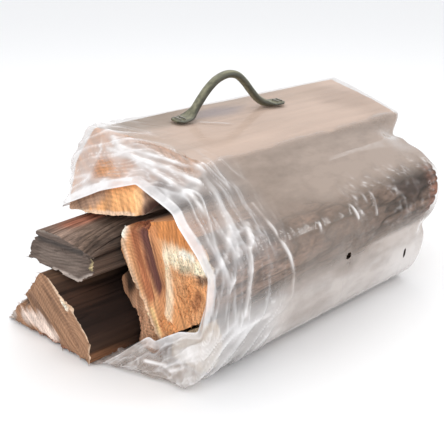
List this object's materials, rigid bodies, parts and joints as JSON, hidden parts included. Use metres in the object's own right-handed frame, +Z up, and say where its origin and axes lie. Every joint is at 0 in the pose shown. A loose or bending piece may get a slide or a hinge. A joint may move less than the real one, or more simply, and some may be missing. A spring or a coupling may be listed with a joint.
{
  "type": "firewood bundle",
  "caption": "Bundle of split firewood logs held by a clear shrink-film sleeve, with a stapled carry handle on top, resting on its flat underside.",
  "frame": {"origin": "on the ground, under the middle of the bundle's bounding box", "axes": "+X along the logs, from the sleeve's open mouth to its closed-in far end; +Y across the bundle, to the left when looking along +X; +Z up"},
  "size_m": [0.5144, 0.2808, 0.2592],
  "materials": {
    "peach_split_wood": "split along the grain, dry, with fine fibres, peach to grey",
    "weathered_grey_wood": "weathered grey-brown, rough sawn end",
    "tan_sawn_wood": "tan rough sawn end, dark bark",
    "dark_brown_wood": "dark brown, split",
    "bright_orange_wood": "fresh orange sawn end with torn cream fibres, brown bark",
    "pale_yellow_wood": "pale yellow fresh wood, greyish bark",
    "brown_bark_wood": "brown bark and split wood",
    "clear_shrink_film": "clear thin film, taut over the middle, wrinkled and slightly hazy at the ends",
    "olive_handle_plastic": "olive-green satin plastic strap",
    "staple_steel": "square steel wire"
  },
  "bodies": {
    "root": {"top_log": "peach_split_wood", "grey_slab": "weathered_grey_wood", "lower_left_log": "tan_sawn_wood", "middle_log": "dark_brown_wood", "right_log": "bright_orange_wood", "lower_right_log": "pale_yellow_wood", "back_left_log": "brown_bark_wood", "shrink_film": "clear_shrink_film", "carry_handle": "olive_handle_plastic", "staple_near_1": "staple_steel", "staple_near_2": "staple_steel", "staple_far_1": "staple_steel", "staple_far_2": "staple_steel"}
  },
  "joints": []
}
